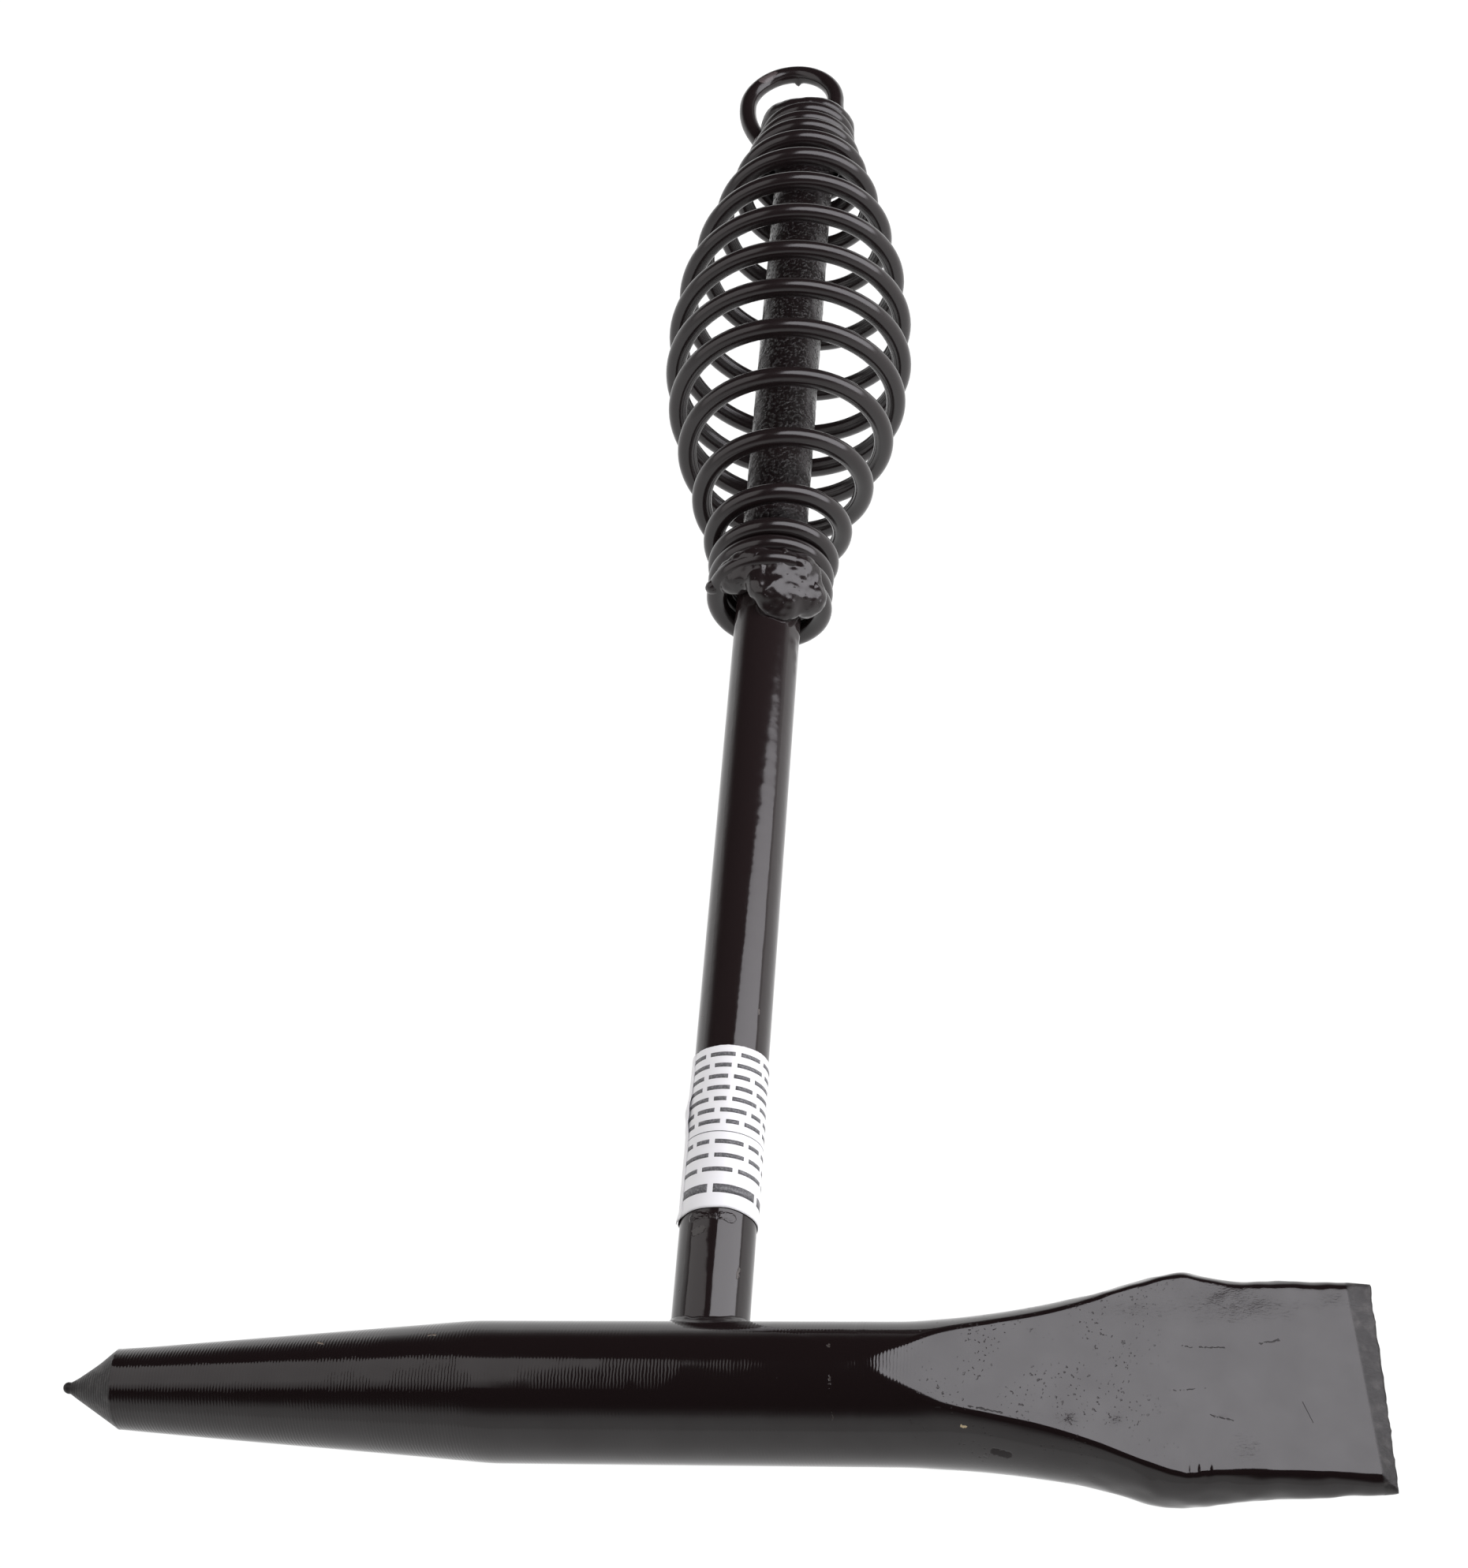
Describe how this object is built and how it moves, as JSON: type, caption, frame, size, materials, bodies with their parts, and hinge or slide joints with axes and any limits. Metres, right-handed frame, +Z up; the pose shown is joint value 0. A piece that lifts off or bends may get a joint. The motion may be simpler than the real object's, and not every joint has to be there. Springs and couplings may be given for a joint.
{
  "type": "chipping hammer",
  "caption": "Welder's chipping hammer lying at rest: round steel head with a ground point and a forged chisel, straight rod handle, coiled wire grip and hanging ring.",
  "frame": {"origin": "middle of the whole hammer's box, on the surface it lies on, under the handle between label and grip", "axes": "+X along the head towards the chisel, +Y along the handle towards the hanging ring, +Z up from the surface the hammer lies on"},
  "size_m": [0.1664, 0.275, 0.0404],
  "materials": {
    "head_paint": "gloss black dipped enamel on forged and turned steel, thin and worn at the point and the cutting edge",
    "rod_paint": "gloss black dipped enamel with orange peel on drawn steel rod, rough and dull inside the coil",
    "wire_paint": "gloss black dipped enamel on round steel wire, chipped to bare metal in places",
    "weld_paint": "gloss black enamel pooled over lumpy weld beads",
    "label_paper": "smooth white paper sticker with plain grey rules and bars, creased at its seam"
  },
  "bodies": {
    "root": {"hammer_head": "head_paint", "handle_rod": "rod_paint", "coil_grip": "wire_paint", "hang_ring": "wire_paint", "head_weld": "weld_paint", "collar_weld": "weld_paint", "tail_weld": "weld_paint", "ring_weld_left": "weld_paint", "ring_weld_right": "weld_paint", "label": "label_paper"}
  },
  "joints": []
}
